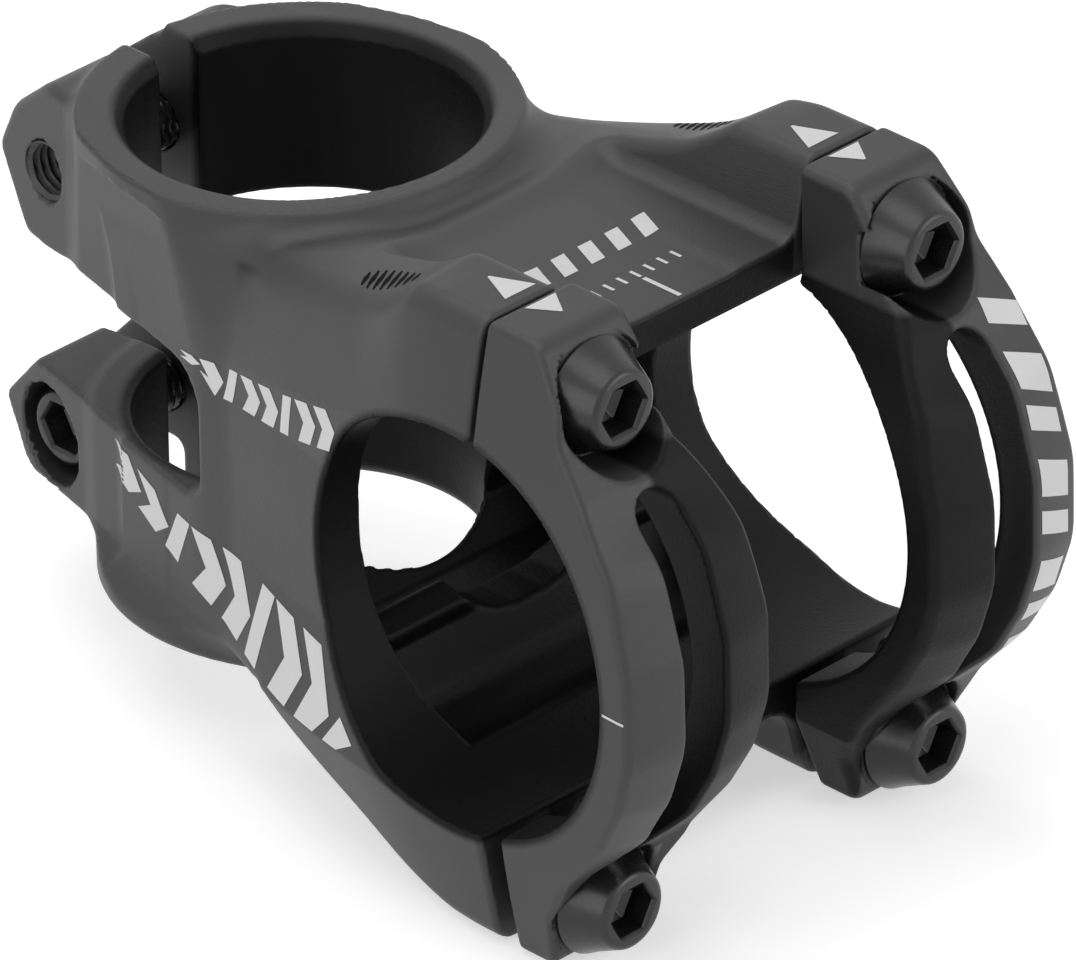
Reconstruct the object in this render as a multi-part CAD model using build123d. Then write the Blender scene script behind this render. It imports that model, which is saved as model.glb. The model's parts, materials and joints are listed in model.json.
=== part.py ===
from build123d import *
from math import cos, radians, sin, sqrt
import os

# Handlebar stem: a forged body that clamps the steerer tube, and two separate caps that clamp the bar.
# Frame: origin on the steerer axis at half the clamp's height, +Z up, -Y forward, +X to the rider's left.
# Millimetres.

# ---- steerer clamp ----
steerer_bore = 28.6
steerer_wall = 2.9
clamp_height = 41.8
rear_slot = 4.2
band_top_depth = 15.8
band_low_depth = 14.9
rear_gap_front = -5.2
rear_gap_corner = 3.2
side_trim_margin = 1.2
bore_relief = 0.3
bore_relief_inset = 1.0
ring_edge = 0.8

# ---- bar clamp ----
bar_bore = 35.0
reach = 40.0
bar_drop = 1.0
crown_wall = 4.3
clamp_width = 50.8
flank_radius = 117.0
upper_split = 2.4
lower_split = 3.6
upper_gap = 0.35
lower_gap = 1.7
boss_over_screw = 5.75
lug_under_screw = 5.2
side_set_back = 0.8

# ---- beam between the two clamps ----
wedge_half = 15.5
wedge_slope = 0.27
wedge_round = 12.0
saddle_drop = 4.9
ridge_slope = 0.295
ramp_foot_back = 11.6
ramp_round = 8.0
boss_length = 3.0
boss_round = 2.0
boss_inset = 5.15
panel_drop = 1.0
boss_draft = 2.4
keel_start_rise = 4.1
keel_mid_back = 15.5
keel_mid_drop = 2.9
keel_round = 6.0
keel_inset = 6.25
keel_draft = 2.0
keel_bridge = 2.9
edge_round = 1.6

# ---- inside of the bar clamp ----
land_inset = 1.25
land_top_angle = 62.0
land_low_angle = 70.0
hollow_bite = 1.7
hollow_fall = 14.6
hollow_floor_length = 4.2
hollow_round = 2.0
rib_top_angle = 26.5
rib_top_depth = 1.7
rib_low_angle = 34.5
rib_low_depth = 0.5
bowl_top_angle = 38.0
bowl_top_depth = 2.0
bowl_mid_angle = 51.5
bowl_mid_depth = 4.0
bowl_low_angle = 64.0
bowl_low_depth = 2.9
bowl_round = 3.0
window_half_width = 8.5
window_rise = 12.6
window_fall = 13.2
window_corner = 6.5

# ---- pinch lugs ----
lug_half_at_axis = 15.1
lug_slope = 0.262
lug_length = 9.7
lug_shoulder = 1.7
lug_crown_drop = 1.0
lug_floor_rise = 3.6
lug_nose_half = 1.3
lug_round = 2.0
pinch_offset = 2.3
pinch_upper_depth = 9.1
pinch_lower_depth = 8.5
pinch_seat_depth = 4.6
pinch_screw_length = 12.0

# ---- bar clamp caps ----
cap_inset_top = 4.85
cap_inset_mid = 8.25
cap_lug_front_top = 11.2
cap_lug_front_low = 10.0
seat_depth_top = 2.05
seat_depth_low = 0.35
cap_slot_width = 4.1
cap_slot_top_angle = 43.0
cap_slot_low_angle = 52.0
cap_low_blend_angle = 46.0
cap_relief = 0.4
cap_relief_margin = 1.3
cap_lug_round = 2.4
crown_fall = 1.2
cap_blank_margin = 1.0
crown_margin = 0.5

# ---- screws ----
screw_thread = 5.0
thread_clearance = 0.05
through_clearance = 0.25
screw_inset = 7.95
screw_over_bar = 4.45
screw_under_bar = 5.4
cap_screw_length = 18.0
tapped_hole_spare = 4.0
cap_head_base = 9.8
pinch_head_base = 8.4
head_height = 3.8
head_tip = 6.4
head_edge = 0.35
tip_chamfer = 0.6
head_clearance = 0.3
hex_width = 4.0
hex_depth = 2.6

# ---- derived sizes ----
steerer_r = steerer_bore / 2
tube_r = steerer_r + steerer_wall
clamp_top = clamp_height / 2
bar_r = bar_bore / 2
crown_r = bar_r + crown_wall
bar_y = -reach
bar_z = -bar_drop
half_width = clamp_width / 2
clamp_half_rear = half_width - side_set_back
cap_screw_x = half_width - screw_inset
panel_half = cap_screw_x - boss_inset
keel_half = cap_screw_x - keel_inset
land_inner = cap_screw_x - land_inset
cap_inner_top = cap_screw_x - cap_inset_top
cap_inner_mid = cap_screw_x - cap_inset_mid
upper_screw_z = bar_z + bar_r + screw_over_bar
lower_screw_z = bar_z - bar_r - screw_under_bar
boss_top = upper_screw_z + boss_over_screw
lug_bottom = lower_screw_z - lug_under_screw
split_up_y = bar_y - upper_split
split_low_y = bar_y - lower_split
cap_up_y = split_up_y - upper_gap
cap_low_y = split_low_y - lower_gap
wedge_front = bar_y + bar_r
ramp_foot = bar_y + ramp_foot_back
boss_back = bar_y + upper_split + boss_length
panel_z = clamp_top - panel_drop
upper_seat_y = bar_y - cap_lug_front_top + seat_depth_top
lower_seat_y = bar_y - cap_lug_front_low + seat_depth_low
band_roof_z = clamp_top - band_top_depth
band_floor_z = band_low_depth - clamp_top
lug_reach = tube_r + lug_length
pinch_y = tube_r + pinch_offset
pinch_upper_z = clamp_top - pinch_upper_depth
pinch_lower_z = pinch_lower_depth - clamp_top
pinch_seat_x = lug_half_at_axis - lug_slope * pinch_y - pinch_seat_depth
thread_r = screw_thread / 2
far = 80.0


def outline(plane, corners):
    """Closed face in a plane from (u, v, corner radius) entries."""
    points = [(u, v) for u, v, radius in corners]
    return plane * make_face(FilletPolyline(*points, radius=[c[2] for c in corners], close=True))


def prism(plane, corners, half_depth):
    """Prism of an outline, the same depth on both sides of its plane."""
    return extrude(outline(plane, corners), amount=half_depth, both=True)


def rod(start, direction, length, radius):
    """Cylinder from a start point along a direction."""
    return Plane(origin=start, z_dir=direction) * Cylinder(
        radius, length, align=(Align.CENTER, Align.CENTER, Align.MIN))


def bar_cylinder(radius, half_length):
    """Cylinder on the bar's axis."""
    return rod((-half_length, bar_y, bar_z), (1, 0, 0), 2 * half_length, radius)


def flank(height):
    """Half width of the bar clamp at a height above the bar's axis."""
    return half_width - flank_radius + sqrt(flank_radius ** 2 - height ** 2)


def wedge_x(y):
    """Half width of the beam at mid height."""
    return wedge_half - wedge_slope * y


def lug_x(y):
    """Half width of the pinch lugs."""
    return lug_half_at_axis - lug_slope * y


# ---------------------------------------------------------------- body
def steerer_tube():
    tube = Cylinder(tube_r, clamp_height)
    return fillet(tube.edges(), ring_edge)


def beam():
    """Beam with the two upper bosses and the two lower lugs of the bar clamp, as one side profile."""
    saddle_z = clamp_top - saddle_drop
    foot_z = saddle_z - ridge_slope * (ramp_foot - rear_gap_front)
    side = prism(Plane.YZ, [
        (0.0, saddle_z, 0.0),
        (rear_gap_front, saddle_z, wedge_round),
        (ramp_foot, foot_z, ramp_round),
        (boss_back, boss_top, boss_round),
        (split_up_y, boss_top, 0.0),
        (split_up_y, bar_z, 0.0),
        (split_low_y, bar_z, 0.0),
        (split_low_y, lug_bottom, lug_round / 2),
        (boss_back, lug_bottom, keel_round),
        (bar_y + keel_mid_back, -clamp_top - keel_mid_drop, keel_round),
        (-steerer_r, keel_start_rise - clamp_top, keel_round / 2),
        (0.0, keel_start_rise - clamp_top, 0.0),
    ], half_width)
    plan = prism(Plane.XY, [
        (wedge_x(0.0), 0.0, 0.0),
        (wedge_x(wedge_front), wedge_front, wedge_round),
        (clamp_half_rear, bar_y, wedge_round),
        (clamp_half_rear, split_low_y, 0.0),
        (-clamp_half_rear, split_low_y, 0.0),
        (-clamp_half_rear, bar_y, wedge_round),
        (-wedge_x(wedge_front), wedge_front, wedge_round),
        (-wedge_x(0.0), 0.0, 0.0),
    ], far)
    block = side & plan
    left_half = fillet(upper_edges(block), edge_round) & front_limit(boss_top, lug_bottom, far)
    return left_half + mirror(left_half, Plane.YZ)


def upper_edges(block):
    """Outer edges of the beam's upper half, from the saddle behind the steerer to the split."""
    middles = [(edge, edge @ 0.5) for edge in block.edges()]
    return [
        edge for edge, p in middles
        if abs(p.X) > wedge_half and split_up_y < p.Y - 0.05
        and p.Y < rear_gap_front + edge_round and p.Z > bar_z + bar_r / 2
    ]


def front_limit(top, bottom, depth):
    """Front outline of the left half of the bar clamp, with a shallow arc as its flank."""
    up = top - bar_z
    down = bottom - bar_z
    flank_arc = ThreePointArc((flank(down), bottom), (half_width, bar_z), (flank(up), top))
    rest = Polyline((flank(up), top), (0, top), (0, bottom), (flank(down), bottom))
    face = make_face(Curve() + [flank_arc, rest])
    corners = [corner for corner in face.vertices() if corner.X > boss_round]
    return extrude(Plane.XZ * fillet(corners, boss_round), amount=depth, both=True)


def upper_panel():
    """Raised floor between the bosses, level with the ring but for a small step."""
    return prism(Plane.YZ, [
        (-steerer_r, panel_z, 0.0),
        (split_up_y, panel_z, 0.0),
        (split_up_y, bar_z, 0.0),
        (-steerer_r, bar_z, 0.0),
    ], panel_half)


def between_bosses():
    """Air between the two upper bosses, above the panel."""
    air = prism(Plane.XZ, [
        (-panel_half, panel_z, boss_round),
        (-panel_half - boss_draft, boss_top + boss_round, 0.0),
        (panel_half + boss_draft, boss_top + boss_round, 0.0),
        (panel_half, panel_z, boss_round),
    ], far)
    front_half = Pos(0, -far / 2 - steerer_r, 0) * Box(far, far, far)
    return air & front_half


def between_lugs():
    """Air between the two lower lugs, under the bridge, running out as the keel rises."""
    bridge_z = bar_z - bar_r - keel_bridge
    air = prism(Plane.XZ, [
        (-keel_half, bridge_z, boss_round),
        (-keel_half - keel_draft, lug_bottom - boss_round, 0.0),
        (keel_half + keel_draft, lug_bottom - boss_round, 0.0),
        (keel_half, bridge_z, boss_round),
    ], far)
    front_half = Pos(0, -far / 2 - tube_r, 0) * Box(far, far, far)
    return air & front_half


def pinch_lugs():
    """Upper and lower lug behind the steerer, one side profile each, with sides that taper to the rear."""
    root_y = steerer_r / 2
    crown_z = clamp_top - lug_crown_drop
    floor_z = lug_floor_rise - clamp_top
    upper = prism(Plane.YZ, [
        (root_y, crown_z, 0.0),
        (tube_r + lug_shoulder, crown_z, lug_round),
        (lug_reach - 0.5, pinch_upper_z + lug_nose_half / 2, lug_round),
        (lug_reach, pinch_upper_z - lug_nose_half, lug_round / 2),
        (lug_reach - pinch_upper_z / 2 + band_roof_z / 2 - lug_nose_half, band_roof_z, lug_round / 2),
        (root_y, band_roof_z, 0.0),
    ], half_width)
    lower = prism(Plane.YZ, [
        (root_y, band_floor_z, 0.0),
        (pinch_y + lug_round, band_floor_z, lug_round / 2),
        (lug_reach, pinch_lower_z + lug_nose_half / 2, lug_round),
        (lug_reach - lug_round, floor_z + lug_nose_half, lug_round),
        (lug_reach - 2.4 * lug_round, floor_z, lug_round),
        (root_y, floor_z, 0.0),
    ], half_width)
    plan = prism(Plane.XY, [
        (lug_x(lug_reach), lug_reach, lug_round / 3),
        (lug_x(root_y), root_y, 0.0),
        (-lug_x(root_y), root_y, 0.0),
        (-lug_x(lug_reach), lug_reach, lug_round / 3),
    ], clamp_top)
    return (upper + lower) & plan


def rear_gap():
    """Opening behind the steerer between the upper and the lower band."""
    return prism(Plane.YZ, [
        (far, band_roof_z, 0.0),
        (rear_gap_front, band_roof_z, rear_gap_corner),
        (rear_gap_front, band_floor_z, rear_gap_corner / 2),
        (far, band_floor_z, 0.0),
    ], far)


def side_trim():
    """Air outside the beam's flat side planes, between the two bands, cut with sloping roof and floor."""
    roof = band_roof_z + side_trim_margin
    floor = band_floor_z - side_trim_margin
    deep = 2 * steerer_wall
    side = Plane(origin=(wedge_half, 0, 0), x_dir=(1, wedge_slope, 0), z_dir=(-wedge_slope, 1, 0))
    face = outline(side, [
        (0.0, roof, side_trim_margin),
        (deep, roof + deep, 0.0),
        (deep, floor - deep, 0.0),
        (0.0, floor, side_trim_margin),
    ])
    cut = extrude(face, amount=far / 2) + extrude(face, amount=-steerer_r / 2)
    return cut + mirror(cut, Plane.YZ)


def steerer_relief():
    """Shallow relief of the steerer bore between its two clamping bands."""
    roof = band_roof_z - bore_relief_inset
    floor = band_floor_z + bore_relief_inset
    return rod((0, 0, floor), (0, 0, 1), roof - floor, steerer_r + bore_relief)


def window():
    """Opening in the wall shared by the two bores."""
    return prism(Plane.XZ, [
        (window_half_width, bar_z + window_rise, window_corner),
        (window_half_width, bar_z - window_fall, window_corner),
        (-window_half_width, bar_z - window_fall, window_corner),
        (-window_half_width, bar_z + window_rise, window_corner),
    ], reach) & (Pos(0, -far / 2, 0) * Box(far, far, far))


def behind_bar(depth, angle, corner):
    """Side outline corner at a depth beyond the bar bore and an angle above the level of its axis."""
    radius = bar_r + depth
    return (bar_y + radius * cos(radians(angle)), bar_z + radius * sin(radians(angle)), corner)


def bar_hollow():
    """Hollow between the two clamping lands: a deep trough over a rib, and a shallow bowl under the rib."""
    back = hollow_bite - steerer_r
    floor_z = bar_z - hollow_fall
    slant_z = floor_z + steerer_wall
    return prism(Plane.YZ, [
        (bar_y, bar_z, 0.0),
        behind_bar(0.0, land_top_angle, 0.0),
        (back, bar_z + window_rise, hollow_round),
        (back, slant_z, hollow_round / 2),
        (back - steerer_wall, floor_z, hollow_round / 2),
        (back - steerer_wall - hollow_floor_length, floor_z, hollow_round),
        behind_bar(rib_top_depth, -rib_top_angle, 0.0),
        behind_bar(rib_low_depth, -rib_low_angle, 0.0),
        behind_bar(bowl_top_depth, -bowl_top_angle, 0.0),
        behind_bar(bowl_mid_depth, -bowl_mid_angle, bowl_round),
        behind_bar(bowl_low_depth, -bowl_low_angle, bowl_round),
        behind_bar(0.0, -land_low_angle, 0.0),
    ], land_inner)


def cap_screw_holes():
    """Tapped holes for the four cap screws."""
    holes = Part()
    for side in (-1, 1):
        for z, seat in ((upper_screw_z, upper_seat_y), (lower_screw_z, lower_seat_y)):
            length = cap_screw_length + tapped_hole_spare
            start = (side * cap_screw_x, seat, z)
            holes += rod(start, (0, 1, 0), length, thread_r + thread_clearance)
    return holes


def pinch_holes(side, z):
    """Head recess and shank hole on one side, tapped hole on the other."""
    start = (side * pinch_seat_x, pinch_y, z)
    recess = rod(start, (side, 0, 0), far, pinch_head_base / 2 + head_clearance)
    clearance = rod(start, (-side, 0, 0), pinch_seat_x, thread_r + through_clearance)
    tapped = rod((0, pinch_y, z), (-side, 0, 0), far, thread_r + thread_clearance)
    return recess + clearance + tapped


def make_body():
    body = steerer_tube() + beam() + upper_panel() + pinch_lugs()
    body -= between_bosses() + between_lugs()
    body -= side_trim()
    body -= bar_cylinder(bar_r, far) + bar_hollow()
    body -= window()
    body -= Cylinder(steerer_r, far) + steerer_relief()
    body -= rear_gap()
    body -= Pos(0, far / 2, 0) * Box(rear_slot, far, far)
    body -= cap_screw_holes()
    body -= pinch_holes(1, pinch_upper_z) + pinch_holes(-1, pinch_lower_z)
    return body


# ---------------------------------------------------------------- caps
def cap_side_face():
    """Side outline of a cap: upper lug, crown over the bar, lower lug."""
    def on_crown(angle):
        return (bar_y - crown_r * cos(radians(angle)), bar_z + crown_r * sin(radians(angle)))

    top_front = bar_y - cap_lug_front_top
    low_front = bar_y - cap_lug_front_low
    crown_top = on_crown(cap_slot_top_angle)
    crown_low = on_crown(-cap_low_blend_angle)
    upper = FilletPolyline(
        (cap_up_y, bar_z), (cap_up_y, boss_top), (top_front + cap_lug_round / 2, boss_top),
        (top_front - cap_lug_round / 3, upper_screw_z - cap_lug_round / 2), crown_top,
        radius=[cap_lug_round / 4, cap_lug_round, 3 * cap_lug_round])
    crown = ThreePointArc(crown_top, (bar_y - crown_r, bar_z), crown_low)
    lower = FilletPolyline(
        crown_low, (low_front, lower_screw_z + cap_lug_round), (low_front, lug_bottom),
        (cap_low_y, lug_bottom), (cap_low_y, bar_z),
        radius=[2 * cap_lug_round, cap_lug_round / 2, cap_lug_round / 2])
    back = Line((cap_low_y, bar_z), (cap_up_y, bar_z))
    return Plane.YZ * make_face(Curve() + [upper, crown, lower, back])


def cap_front_face():
    """Front outline of the left cap: bowed flanks, wide over the slot and narrow at the upper lug."""
    up = boss_top - bar_z
    down = lug_bottom - bar_z
    inner_low = cap_inner_top - cap_lug_round / 2
    outer = ThreePointArc((flank(down), lug_bottom), (half_width, bar_z), (flank(up), boss_top))
    lid = Line((flank(up), boss_top), (cap_inner_top, boss_top))
    inner = Spline(
        (cap_inner_top, boss_top), (cap_inner_top, bar_z + 0.72 * up),
        (cap_inner_mid + crown_fall, bar_z + 0.44 * up), (cap_inner_mid, bar_z - 0.1 * up),
        (cap_inner_mid + crown_fall / 2, bar_z + 0.7 * down), (inner_low, lug_bottom))
    base = Line((inner_low, lug_bottom), (flank(down), lug_bottom))
    return Plane.XZ * make_face(Curve() + [outer, lid, inner, base])


def cap_slot():
    """Long slot with round ends through the crown, on the screws' plane."""
    top_z = crown_r * sin(radians(cap_slot_top_angle)) + cap_slot_width / 2
    low_z = -crown_r * sin(radians(cap_slot_low_angle)) - cap_slot_width / 2
    centre = (cap_screw_x, bar_z + (top_z + low_z) / 2)
    face = Plane.XZ * Pos(*centre) * SlotOverall(top_z - low_z, cap_slot_width, rotation=90)
    return extrude(face, amount=reach + far)


def cap_relief_groove():
    """Shallow groove round the cap's bore on the slot's plane, so that a land is left on each side of it."""
    half = cap_slot_width / 2 + cap_relief_margin
    return rod((cap_screw_x - half, bar_y, bar_z), (1, 0, 0), 2 * half, bar_r + cap_relief)


def crowned_ring():
    """Disc about the bar's axis whose rim is highest over the slot and falls to both sides."""
    near = cap_inner_mid - crown_margin
    wide = half_width + crown_margin
    edge_r = crown_r - crown_fall
    bow = ThreePointArc((near, edge_r), (cap_screw_x, crown_r), (wide, edge_r))
    sides = Polyline((wide, edge_r), (wide, 0), (near, 0), (near, edge_r))
    section = Plane(origin=(0, bar_y, bar_z), x_dir=(1, 0, 0), z_dir=(0, -1, 0))
    return revolve(section * make_face(Curve() + [bow, sides]), Axis((0, bar_y, bar_z), (1, 0, 0)), 360)


def lug_wedge(angle, direction):
    """Space in front of the bar's axis, beyond an angle above (1) or below (-1) the level of the axis."""
    tip = (bar_y - far * cos(radians(angle)), bar_z + direction * far * sin(radians(angle)), 0.0)
    top = (bar_y, bar_z + direction * far, 0.0)
    return prism(Plane.YZ, [(bar_y, bar_z, 0.0), tip, top], far)


def make_cap(side):
    cap = extrude(cap_side_face(), amount=half_width + cap_blank_margin) & extrude(cap_front_face(), amount=far + reach)
    upper_lug = lug_wedge(cap_slot_top_angle, 1)
    lower_lug = lug_wedge(cap_low_blend_angle, -1)
    cap &= crowned_ring() + upper_lug + lower_lug
    cap -= bar_cylinder(bar_r, far) + cap_relief_groove()
    cap -= cap_slot()
    for z, seat in ((upper_screw_z, upper_seat_y), (lower_screw_z, lower_seat_y)):
        start = (cap_screw_x, seat, z)
        cap -= rod(start, (0, 1, 0), far, thread_r + through_clearance)
        cap -= rod(start, (0, -1, 0), far, cap_head_base / 2 + head_clearance)
    return cap if side > 0 else mirror(cap, Plane.YZ)


# ---------------------------------------------------------------- screws
def make_screw(length, base):
    """Socket screw with a tapering head, seat at the origin, head towards +Z."""
    head = Cone(base / 2, head_tip / 2, head_height, align=(Align.CENTER, Align.CENTER, Align.MIN))
    head = fillet(head.edges().sort_by(Axis.Z)[-1:], head_edge)
    shank = Pos(0, 0, -length) * Cylinder(thread_r, length, align=(Align.CENTER, Align.CENTER, Align.MIN))
    shank = chamfer(shank.edges().sort_by(Axis.Z)[:1], tip_chamfer)
    socket_plane = Plane(origin=(0, 0, head_height - hex_depth))
    socket = extrude(socket_plane * RegularPolygon(hex_width / 2, 6, major_radius=False), amount=far)
    return head + shank - socket


def place_screw(screw, seat, direction):
    """Put a screw's seat at a point, its head pointing along a direction."""
    return Plane(origin=seat, z_dir=direction) * screw


def build():
    cap_screw = make_screw(cap_screw_length, cap_head_base)
    pinch_screw = make_screw(pinch_screw_length, pinch_head_base)
    nodes = {"stem_body": make_body()}
    for side, name in ((-1, "right"), (1, "left")):
        nodes["clamp_cap_" + name] = make_cap(side)
        upper_seat = (side * cap_screw_x, upper_seat_y, upper_screw_z)
        lower_seat = (side * cap_screw_x, lower_seat_y, lower_screw_z)
        nodes["cap_bolt_upper_" + name] = place_screw(cap_screw, upper_seat, (0, -1, 0))
        nodes["cap_bolt_lower_" + name] = place_screw(cap_screw, lower_seat, (0, -1, 0))
    upper_pinch = (pinch_seat_x, pinch_y, pinch_upper_z)
    lower_pinch = (-pinch_seat_x, pinch_y, pinch_lower_z)
    nodes["pinch_bolt_upper"] = place_screw(pinch_screw, upper_pinch, (1, 0, 0))
    nodes["pinch_bolt_lower"] = place_screw(pinch_screw, lower_pinch, (-1, 0, 0))
    return nodes


os.makedirs("parts", exist_ok=True)
for node_name, shape in build().items():
    shape.label = node_name
    export_step(shape, f"parts/{node_name}.step")
    print(node_name, len(shape.solids()), round(shape.volume, 1))
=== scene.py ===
import json
import math

import bpy
import numpy as np
from mathutils import Matrix, Vector


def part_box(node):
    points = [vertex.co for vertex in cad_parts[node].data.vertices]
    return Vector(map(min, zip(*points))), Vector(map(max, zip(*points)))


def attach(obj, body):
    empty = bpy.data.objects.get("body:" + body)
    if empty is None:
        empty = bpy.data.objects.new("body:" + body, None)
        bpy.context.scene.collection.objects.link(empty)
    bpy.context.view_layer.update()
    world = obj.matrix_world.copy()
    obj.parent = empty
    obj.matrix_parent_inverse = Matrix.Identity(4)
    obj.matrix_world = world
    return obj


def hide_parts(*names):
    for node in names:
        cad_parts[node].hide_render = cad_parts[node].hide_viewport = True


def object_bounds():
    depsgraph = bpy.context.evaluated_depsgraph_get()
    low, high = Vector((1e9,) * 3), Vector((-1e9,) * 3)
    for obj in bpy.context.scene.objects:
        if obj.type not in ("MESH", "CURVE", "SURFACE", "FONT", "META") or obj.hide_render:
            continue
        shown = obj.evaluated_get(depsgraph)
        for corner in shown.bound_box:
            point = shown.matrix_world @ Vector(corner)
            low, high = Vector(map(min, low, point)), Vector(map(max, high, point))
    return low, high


MM = 0.001
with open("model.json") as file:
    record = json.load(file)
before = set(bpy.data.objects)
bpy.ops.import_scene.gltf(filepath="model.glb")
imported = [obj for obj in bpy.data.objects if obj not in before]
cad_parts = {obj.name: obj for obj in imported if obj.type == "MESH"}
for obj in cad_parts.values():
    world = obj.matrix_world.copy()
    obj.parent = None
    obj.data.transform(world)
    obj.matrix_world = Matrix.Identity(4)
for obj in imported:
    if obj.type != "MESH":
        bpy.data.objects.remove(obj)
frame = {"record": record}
cad_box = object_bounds()

# ---------------------------------------------------------------- sizes, in millimetres, part frame
mounts = {m["name"]: m for m in frame["record"]["mounts"]}
STEERER_R = mounts["steerer_clamp"]["dims"]["r_mm"]
CLAMP_TOP = mounts["steerer_clamp"]["dims"]["length_mm"] / 2
BAR_R = mounts["bar_clamp"]["dims"]["r_mm"]
HALF_WIDTH = mounts["bar_clamp"]["dims"]["length_mm"] / 2
BAR_Y = mounts["bar_clamp"]["pos_m"][1] / MM
BAR_Z = mounts["bar_clamp"]["pos_m"][2] / MM


def node_box(name):
    low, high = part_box(name)
    return np.array(low) / MM, np.array(high) / MM


body_low, body_high = node_box("stem_body")
upper_low, upper_high = node_box("cap_bolt_upper_left")
lower_low, lower_high = node_box("cap_bolt_lower_left")
pinch_up_low, pinch_up_high = node_box("pinch_bolt_upper")
pinch_down_low, pinch_down_high = node_box("pinch_bolt_lower")

SCREW_X = (upper_low[0] + upper_high[0]) / 2
UPPER_Z = (upper_low[2] + upper_high[2]) / 2
LOWER_Z = (lower_low[2] + lower_high[2]) / 2
HEAD_HEIGHT = 3.8
UPPER_SEAT = upper_low[1] + HEAD_HEIGHT
LOWER_SEAT = lower_low[1] + HEAD_HEIGHT
PINCH_Y = (pinch_up_low[1] + pinch_up_high[1]) / 2
PINCH_UP_Z = (pinch_up_low[2] + pinch_up_high[2]) / 2
PINCH_DOWN_Z = (pinch_down_low[2] + pinch_down_high[2]) / 2
PINCH_SEAT = pinch_up_high[0] - HEAD_HEIGHT
TOP = body_high[2]
REAR = body_high[1]
SPLIT_UP = BAR_Y - 2.4
SPLIT_LOW = BAR_Y - 3.6
CAP_UP = BAR_Y - 2.75
CAP_LOW = BAR_Y - 5.3
GAP_ROOF = CLAMP_TOP - 15.8
GAP_FLOOR = -CLAMP_TOP + 14.9
GAP_FRONT = -5.2
TUBE_R = 18.4
SPINE_Z = -17.5
OUTER_FALL = 0.75
RIDGE_A = 14.5
SHANK_HOLE_R = 2.75
CAP_RECESS_R = 5.2
PINCH_RECESS_R = 4.35
THREAD_R = 2.5
THREAD_PITCH = 0.8
THREAD_DEPTH = 0.42
SOCKET_FLATS = 4.0
SCREW_TIP = 6.4
SHEET_LIFT = 0.03


# ---------------------------------------------------------------- distance functions (negative inside)
def both(a, b, r):
    """Intersection with a rounded convex edge of radius r."""
    return np.minimum(-r, np.maximum(a, b)) + np.hypot(np.maximum(a + r, 0), np.maximum(b + r, 0))


def either(a, b, r):
    """Union with a concave fillet of radius r."""
    return np.maximum(r, np.minimum(a, b)) - np.hypot(np.maximum(r - a, 0), np.maximum(r - b, 0))


def less(a, b, r):
    """a without b, the edge rounded by r."""
    return both(a, -b, r)


def ease(t):
    t = np.clip(t, 0, 1)
    return t * t * (3 - 2 * t)


def soft_min(a, b, k):
    return 0.5 * (a + b - np.sqrt((a - b) ** 2 + k * k))


def soft_max(a, b, k):
    return 0.5 * (a + b + np.sqrt((a - b) ** 2 + k * k))


def rounded(corners, steps=5):
    """Corner list (u, v, radius) turned into a polygon with arcs."""
    out = []
    n = len(corners)
    for i, (u, v, r) in enumerate(corners):
        here = np.array((u, v), float)
        before = np.array(corners[i - 1][:2], float) - here
        after = np.array(corners[(i + 1) % n][:2], float) - here
        if r <= 0:
            out.append(here)
            continue
        before /= np.linalg.norm(before)
        after /= np.linalg.norm(after)
        half = 0.5 * math.acos(float(np.clip(before @ after, -1, 1)))
        middle = (before + after) / np.linalg.norm(before + after)
        centre = here + middle * r / math.sin(half)
        a = here + before * r / math.tan(half) - centre
        b = here + after * r / math.tan(half) - centre
        sweep = math.pi - 2 * half
        for k in range(steps + 1):
            t = k / steps
            out.append(centre + (math.sin((1 - t) * sweep) * a + math.sin(t * sweep) * b) / math.sin(sweep))
    return out


def polygon(u, v, points):
    """Signed distance in a plane to a closed polygon."""
    best = None
    sign = 1.0
    n = len(points)
    for i in range(n):
        p = points[i]
        q = points[i - 1]
        ex, ey = q[0] - p[0], q[1] - p[1]
        wx, wy = u - p[0], v - p[1]
        t = np.clip((wx * ex + wy * ey) / (ex * ex + ey * ey), 0, 1)
        d = (wx - ex * t) ** 2 + (wy - ey * t) ** 2
        best = d if best is None else np.minimum(best, d)
        above, below, left = v >= p[1], v < q[1], ex * wy > ey * wx
        flip = (above & below & left) | (~above & ~below & ~left)
        sign = np.where(flip, -sign, sign)
    return sign * np.sqrt(best)


def bar_radius(y, z):
    return np.hypot(y - BAR_Y, z - BAR_Z)


def flank(z):
    """How far the clamp's side draws in at a height."""
    return (z - BAR_Z) ** 2 / (2 * 117.0)


# ---------------------------------------------------------------- body
UPPER_LUG = rounded([
    (4.0, 19.9, 0), (19.3, 19.9, 4.0), (24.9, 15.4, 4.0), (REAR + 0.5, 10.9, 1.4),
    (22.8, 4.6, 2.0), (4.0, 4.6, 0)])
LOWER_LUG = rounded([
    (0.0, -6.1, 0), (21.3, -6.1, 1.2), (26.8, -11.9, 1.0), (23.4, -17.25, 2.2), (0.0, -17.25, 0)])
GAP = rounded([
    (60.0, GAP_FLOOR, 0), (GAP_FRONT, GAP_FLOOR, 2.2), (GAP_FRONT, GAP_ROOF + 0.6, 3.6),
    (14.5, GAP_ROOF + 0.6, 3.0), (19.5, GAP_ROOF - 0.5, 3.0), (60.0, GAP_ROOF - 0.5, 0)])
WINDOW = rounded([
    (8.6, 11.8, 6.0), (8.6, -14.0, 7.0), (-8.6, -14.0, 7.0), (-8.6, 11.8, 6.0)])
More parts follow.
